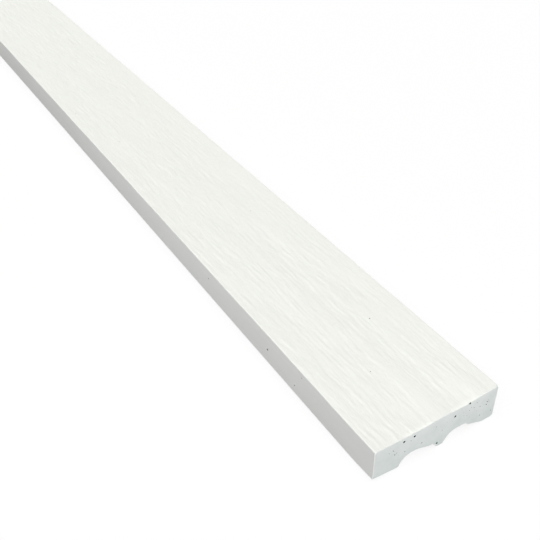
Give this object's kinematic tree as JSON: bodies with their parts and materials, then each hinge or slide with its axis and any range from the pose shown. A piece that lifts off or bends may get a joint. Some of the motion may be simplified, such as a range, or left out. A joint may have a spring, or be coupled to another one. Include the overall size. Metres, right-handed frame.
{
  "type": "fibre cement trim board",
  "caption": "Straight length of exterior trim with a wood-grain embossed face, smooth edges and a back relieved by two shallow channels.",
  "frame": {"origin": "under the middle of the board, on the plane of its back's bearing strips", "axes": "+X along the board's length, +Y across its width, +Z out of the finished face"},
  "size_m": [2.4384, 0.0888, 0.0254],
  "materials": {
    "fibre_cement": "primed off-white, matt, wood grain embossed on the face"
  },
  "bodies": {
    "root": {"trim_board": "fibre_cement"}
  },
  "joints": []
}
